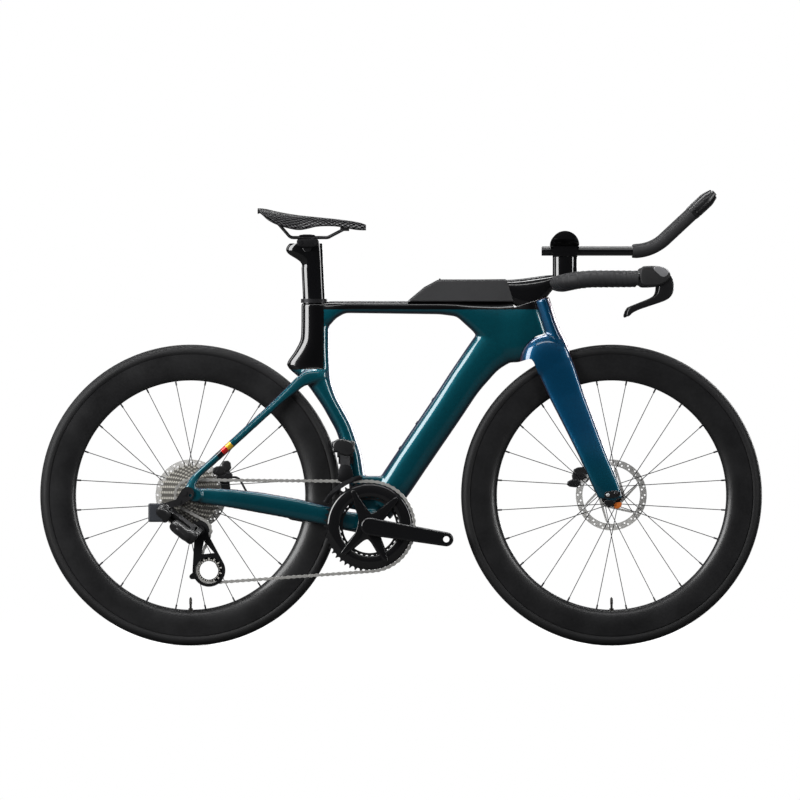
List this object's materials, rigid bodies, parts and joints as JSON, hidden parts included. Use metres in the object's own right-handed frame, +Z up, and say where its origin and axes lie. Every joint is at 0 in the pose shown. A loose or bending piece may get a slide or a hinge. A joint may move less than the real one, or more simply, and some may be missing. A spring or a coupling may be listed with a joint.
{
  "type": "time trial bike",
  "caption": "Time trial bicycle with deep aero frame, deep rims, disc brakes, base bar with arm rests and extensions, storage box, saddle, and a chain drive with derailleurs.",
  "frame": {"origin": "on the floor midway between the two axles, in the wheels' plane", "axes": "+X forward, +Y to the rider's left with the chain on -Y, +Z up"},
  "size_m": [1.6259, 0.4356, 1.0259],
  "materials": {
    "frame_paint": "gloss metallic paint that shifts from teal to purple",
    "fork_paint": "gloss metallic blue paint",
    "gloss_black": "gloss black lacquer over carbon fibre",
    "satin_black": "satin black",
    "box_grey": "matt dark grey",
    "grip_rubber": "dark grey grip tape",
    "tyre_rubber": "black tyre rubber",
    "saddle_cloth": "black textured cover over foam",
    "dark_metal": "black anodised",
    "spoke_steel": "black oxide steel",
    "grey_metal": "grey anodised",
    "steel": "bright ground steel",
    "cassette_steel": "pale gold plated steel",
    "hose_black": "black hose"
  },
  "bodies": {
    "frame": {"frame": "frame_paint", "chainstays": "frame_paint", "seatstays": "frame_paint", "headset_bearings": "steel", "seat_collar": "dark_metal", "storage_box": "box_grey", "bottom_cups": "dark_metal", "rear_axle": "dark_metal", "rd_fixed_knuckle": "dark_metal", "rd_battery": "grey_metal", "fd_body": "satin_black", "rear_caliper": "dark_metal", "rear_hose": "hose_black", "chain": "steel"},
    "steering": {"fork": "fork_paint", "base_bar": "gloss_black", "bar_grips": "grip_rubber", "lever_hoods": "satin_black", "risers": "gloss_black", "arm_cups": "gloss_black", "arm_pads": "saddle_cloth", "front_axle": "dark_metal", "front_caliper": "dark_metal"},
    "front wheel": {"front_tyre": "tyre_rubber", "front_rim": "satin_black", "front_spokes": "spoke_steel", "front_hub": "dark_metal", "front_rotor": "steel"},
    "rear wheel": {"rear_tyre": "tyre_rubber", "rear_rim": "satin_black", "rear_spokes": "spoke_steel", "rear_hub": "dark_metal", "rear_rotor": "steel"},
    "cassette": {"cassette": "cassette_steel"},
    "crankset": {"crank_right": "dark_metal", "crank_left": "dark_metal", "chainring_large": "dark_metal", "chainring_small": "dark_metal"},
    "brake lever right": {"brake_lever_right": "satin_black"},
    "brake lever left": {"brake_lever_left": "satin_black"},
    "extension right": {"extension_right": "gloss_black", "extension_grip_right": "grip_rubber"},
    "extension left": {"extension_left": "gloss_black", "extension_grip_left": "grip_rubber"},
    "shift button right": {"shift_button_right": "grip_rubber"},
    "shift button left": {"shift_button_left": "grip_rubber"},
    "seatpost": {"seatpost": "gloss_black"},
    "saddle clamp": {"saddle_clamp": "dark_metal"},
    "saddle": {"saddle_cover": "saddle_cloth", "saddle_shell": "satin_black", "saddle_rails": "steel"},
    "box lid": {"box_lid": "box_grey"},
    "derailleur outer link": {"rd_link_outer": "satin_black"},
    "derailleur inner link": {"rd_link_inner": "satin_black"},
    "derailleur knuckle": {"rd_moving_knuckle": "grey_metal"},
    "derailleur cage": {"rd_cage": "dark_metal"},
    "guide pulley": {"guide_pulley": "dark_metal"},
    "tension pulley": {"tension_pulley": "dark_metal"},
    "front derailleur link": {"fd_link": "satin_black"},
    "front derailleur cage": {"fd_cage": "dark_metal"}
  },
  "joints": [
    {"name": "steering", "type": "hinge", "parent": "frame", "child": "steering", "pos_m": [0.33125, 0, 0.6421], "axis": [-0.3007, 0, 0.9537], "range_deg": [-35, 35]},
    {"name": "front_wheel_spin", "type": "hinge", "parent": "steering", "child": "front wheel", "pos_m": [0.474, 0, 0.339], "axis": [0, 1, 0], "continuous": true},
    {"name": "rear_wheel_spin", "type": "hinge", "parent": "frame", "child": "rear wheel", "pos_m": [-0.474, 0, 0.339], "axis": [0, 1, 0], "continuous": true},
    {"name": "crank_spin", "type": "hinge", "parent": "frame", "child": "crankset", "pos_m": [-0.07104, 0, 0.269], "axis": [0, 1, 0], "continuous": true, "deforming": ["chain"]},
    {"name": "cassette_spin", "type": "hinge", "parent": "frame", "child": "cassette", "pos_m": [-0.474, 0, 0.339], "axis": [0, 1, 0], "continuous": true, "deforming": ["chain"]},
    {"name": "brake_lever_right_pull", "type": "hinge", "parent": "steering", "child": "brake lever right", "pos_m": [0.58705, -0.2, 0.83476], "axis": [0, 1, 0], "range_deg": [0, 18], "stiffness_Nm_per_rad": 1.2},
    {"name": "brake_lever_left_pull", "type": "hinge", "parent": "steering", "child": "brake lever left", "pos_m": [0.58705, 0.2, 0.83476], "axis": [0, 1, 0], "range_deg": [0, 18], "stiffness_Nm_per_rad": 1.2},
    {"name": "extension_right_reach", "type": "slide", "parent": "steering", "child": "extension right", "axis": [1, 0, 0], "range_m": [-0.03, 0.03]},
    {"name": "extension_left_reach", "type": "slide", "parent": "steering", "child": "extension left", "axis": [1, 0, 0], "range_m": [-0.03, 0.03]},
    {"name": "shift_button_right_press", "type": "slide", "parent": "extension right", "child": "shift button right", "axis": [-0.7314, 0, -0.682], "range_m": [0, 0.002], "stiffness_N_per_m": 600},
    {"name": "shift_button_left_press", "type": "slide", "parent": "extension left", "child": "shift button left", "axis": [-0.7314, 0, -0.682], "range_m": [0, 0.002], "stiffness_N_per_m": 600},
    {"name": "seat_height", "type": "slide", "parent": "frame", "child": "seatpost", "axis": [-0.0471, 0, 0.9989], "range_m": [-0.025, 0.03]},
    {"name": "saddle_tilt", "type": "hinge", "parent": "seatpost", "child": "saddle clamp", "pos_m": [-0.21104, 0, 0.898], "axis": [0, 1, 0], "range_deg": [-5, 5]},
    {"name": "saddle_setback", "type": "slide", "parent": "saddle clamp", "child": "saddle", "axis": [1, 0, 0], "range_m": [-0.01, 0.01]},
    {"name": "lid_open", "type": "hinge", "parent": "frame", "child": "box lid", "pos_m": [0.08705, 0, 0.82476], "axis": [0, -1, 0], "range_deg": [0, 75]},
    {"name": "gear_shift", "type": "hinge", "parent": "frame", "child": "derailleur outer link", "pos_m": [-0.51621, -0.07802, 0.30299], "axis": [0.4184, 0.7431, 0.5222], "range_deg": [-12, 18], "deforming": ["chain"]},
    {"name": "gear_shift_inner", "type": "hinge", "parent": "frame", "child": "derailleur inner link", "pos_m": [-0.52457, -0.06598, 0.29254], "axis": [0.4184, 0.7431, 0.5222], "range_deg": [-12, 18], "deforming": ["chain"]},
    {"name": "gear_shift_level", "type": "hinge", "parent": "derailleur outer link", "child": "derailleur knuckle", "pos_m": [-0.46782, -0.07802, 0.26422], "axis": [0.4184, 0.7431, 0.5222], "range_deg": [-18, 12], "deforming": ["chain"]},
    {"name": "cage_swing", "type": "hinge", "parent": "derailleur knuckle", "child": "derailleur cage", "pos_m": [-0.452, -0.047, 0.26], "axis": [0, 1, 0], "range_deg": [-12, 25], "stiffness_Nm_per_rad": 4, "deforming": ["chain"]},
    {"name": "guide_pulley_spin", "type": "hinge", "parent": "derailleur cage", "child": "guide pulley", "pos_m": [-0.452, -0.047, 0.26], "axis": [0, 1, 0], "continuous": true, "deforming": ["chain"]},
    {"name": "tension_pulley_spin", "type": "hinge", "parent": "derailleur cage", "child": "tension pulley", "pos_m": [-0.43219, -0.047, 0.17016], "axis": [0, 1, 0], "continuous": true, "deforming": ["chain"]},
    {"name": "ring_shift", "type": "hinge", "parent": "frame", "child": "front derailleur link", "pos_m": [-0.12604, -0.038, 0.429], "axis": [1, 0, 0], "range_deg": [0, 14], "deforming": ["chain"]},
    {"name": "ring_shift_level", "type": "hinge", "parent": "front derailleur link", "child": "front derailleur cage", "pos_m": [-0.12604, -0.045, 0.403], "axis": [1, 0, 0], "range_deg": [-14, 0], "deforming": ["chain"]}
  ],
  "couplings": [
    {"joint": "cassette_spin", "follows": "crank_spin", "ratio": 2.9412},
    {"joint": "guide_pulley_spin", "follows": "crank_spin", "ratio": -4.1667},
    {"joint": "tension_pulley_spin", "follows": "crank_spin", "ratio": 3.5714},
    {"joint": "gear_shift_inner", "follows": "gear_shift", "ratio": 1},
    {"joint": "gear_shift_level", "follows": "gear_shift", "ratio": -1},
    {"joint": "ring_shift_level", "follows": "ring_shift", "ratio": -1}
  ]
}
